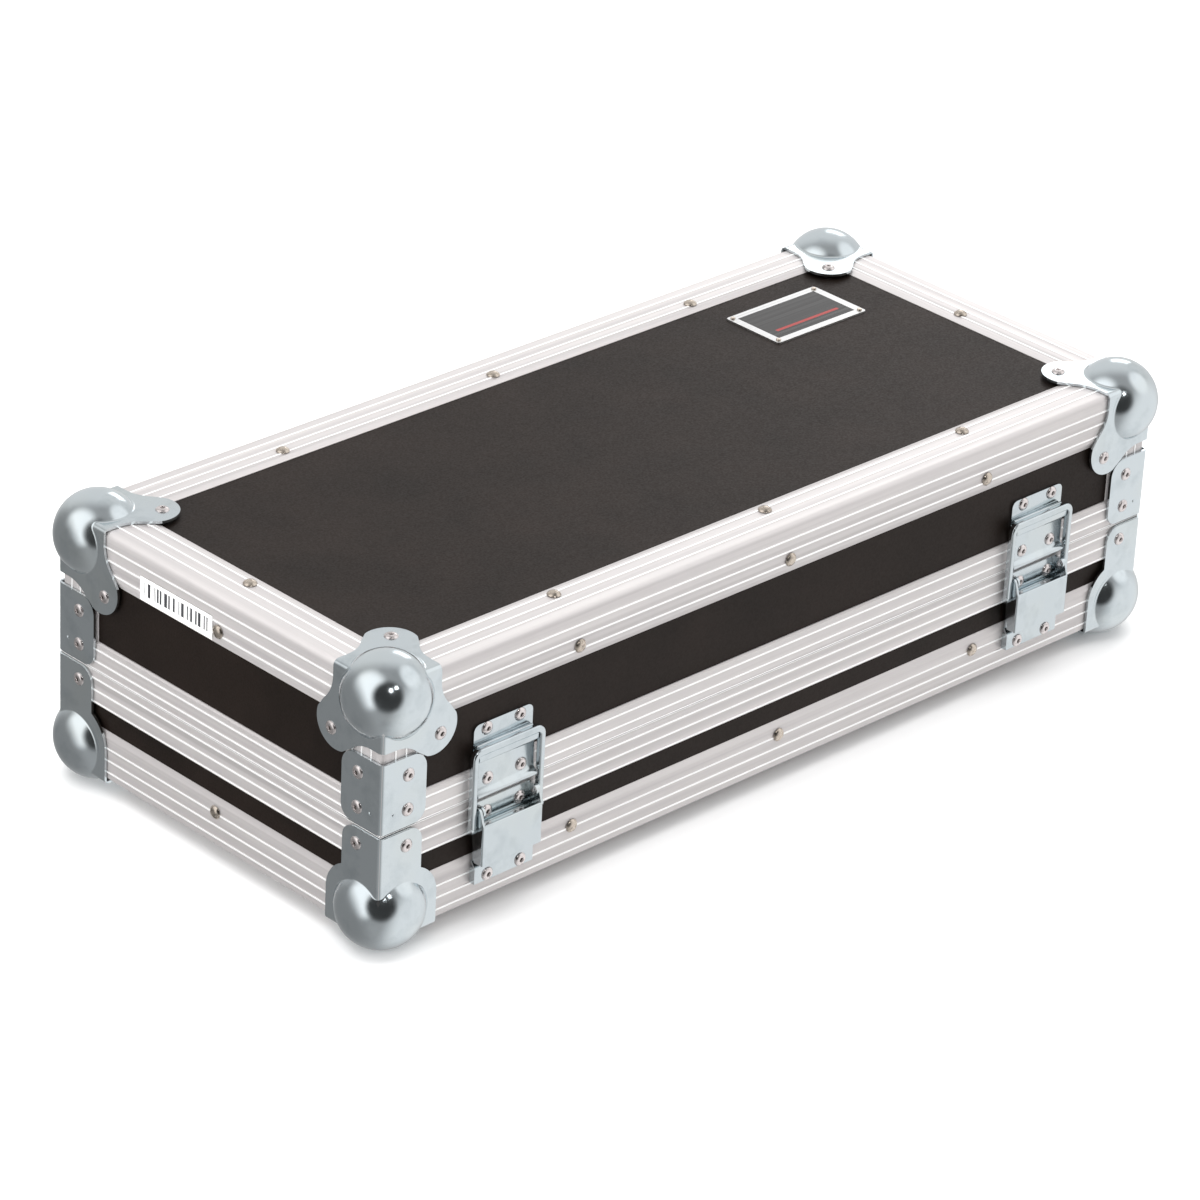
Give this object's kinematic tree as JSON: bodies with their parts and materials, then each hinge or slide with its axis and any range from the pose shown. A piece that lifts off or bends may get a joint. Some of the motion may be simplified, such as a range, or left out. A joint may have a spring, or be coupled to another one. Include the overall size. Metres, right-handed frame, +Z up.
{
  "type": "synthesizer case",
  "caption": "Wide, low flight case with ribbed aluminium edges, dark laminate panels, ball corners, two draw latches in front and a lid hinged at the back.",
  "frame": {"origin": "centre of the footprint, on the surface the four lower ball corners stand on", "axes": "+X along the length, towards the right as seen from the latch side; +Y from the latches to the hinges; +Z up"},
  "size_m": [0.6214, 0.2864, 0.1755],
  "materials": {
    "laminate_panel": "dark brown-black laminate on plywood, satin",
    "aluminium_profile": "natural extruded aluminium, fine ribs",
    "zinc_steel": "bright zinc plate, pressed sheet",
    "rivet_metal": "nickel-plated rivets",
    "latch_steel": "bright zinc plate, formed sheet",
    "hinge_steel": "bright zinc plate",
    "lining_foam": "dark open-cell foam",
    "name_plate_metal": "thin plate with a blank dark field",
    "label_paper": "white sticker with plain grey bars"
  },
  "bodies": {
    "base": {"base_bottom_panel": "laminate_panel", "base_front_panel": "laminate_panel", "base_back_panel": "laminate_panel", "base_left_panel": "laminate_panel", "base_right_panel": "laminate_panel", "base_edge_front": "aluminium_profile", "base_edge_back": "aluminium_profile", "base_edge_left": "aluminium_profile", "base_edge_right": "aluminium_profile", "base_closing_profile_front": "aluminium_profile", "base_closing_profile_back": "aluminium_profile", "base_closing_profile_left": "aluminium_profile", "base_closing_profile_right": "aluminium_profile", "base_ball_corner_front_left": "zinc_steel", "base_ball_corner_front_right": "zinc_steel", "base_ball_corner_back_left": "zinc_steel", "base_ball_corner_back_right": "zinc_steel", "base_edge_rivets": "rivet_metal", "base_blind_rivets": "rivet_metal", "base_foam_pad": "lining_foam", "base_foam_strips": "lining_foam", "latch_base_left": "latch_steel", "latch_base_right": "latch_steel", "latch_pivot_pins": "latch_steel", "hinge_base_leaves": "hinge_steel", "hinge_pins": "hinge_steel"},
    "lid": {"lid_top_panel": "laminate_panel", "lid_front_panel": "laminate_panel", "lid_back_panel": "laminate_panel", "lid_left_panel": "laminate_panel", "lid_right_panel": "laminate_panel", "lid_edge_front": "aluminium_profile", "lid_edge_back": "aluminium_profile", "lid_edge_left": "aluminium_profile", "lid_edge_right": "aluminium_profile", "lid_upright_angles": "aluminium_profile", "lid_closing_profile_front": "aluminium_profile", "lid_closing_profile_back": "aluminium_profile", "lid_closing_profile_left": "aluminium_profile", "lid_closing_profile_right": "aluminium_profile", "lid_ball_corner_front_left": "zinc_steel", "lid_ball_corner_front_right": "zinc_steel", "lid_ball_corner_back_left": "zinc_steel", "lid_ball_corner_back_right": "zinc_steel", "lid_corner_braces": "zinc_steel", "lid_edge_rivets": "rivet_metal", "lid_blind_rivets": "rivet_metal", "lid_foam_pad": "lining_foam", "lid_foam_strips": "lining_foam", "name_plate": "name_plate_metal", "name_plate_rivets": "rivet_metal", "side_label": "label_paper", "latch_strike_left": "latch_steel", "latch_strike_right": "latch_steel", "hinge_lid_leaves": "hinge_steel"},
    "lever_left": {"latch_lever_left": "latch_steel"},
    "lever_right": {"latch_lever_right": "latch_steel"},
    "loop_left": {"latch_loop_left": "latch_steel"},
    "loop_right": {"latch_loop_right": "latch_steel"}
  },
  "joints": [
    {"name": "lid_hinge", "type": "hinge", "parent": "base", "child": "lid", "pos_m": [0, 0.137, 0.0763], "axis": [-1, 0, 0], "range_deg": [0, 100]},
    {"name": "latch_lever_left", "type": "hinge", "parent": "base", "child": "lever_left", "pos_m": [-0.2135, -0.137, 0.0693], "axis": [-1, 0, 0], "range_deg": [0, 130]},
    {"name": "latch_loop_left", "type": "hinge", "parent": "lever_left", "child": "loop_left", "pos_m": [-0.2135, -0.1359, 0.0593], "axis": [-1, 0, 0], "range_deg": [-146, 0]},
    {"name": "latch_lever_right", "type": "hinge", "parent": "base", "child": "lever_right", "pos_m": [0.207, -0.137, 0.0693], "axis": [-1, 0, 0], "range_deg": [0, 130]},
    {"name": "latch_loop_right", "type": "hinge", "parent": "lever_right", "child": "loop_right", "pos_m": [0.207, -0.1359, 0.0593], "axis": [-1, 0, 0], "range_deg": [-146, 0]}
  ],
  "couplings": [
    {"joint": "latch_loop_left", "follows": "latch_lever_left", "ratio": -1.12},
    {"joint": "latch_loop_right", "follows": "latch_lever_right", "ratio": -1.12}
  ]
}
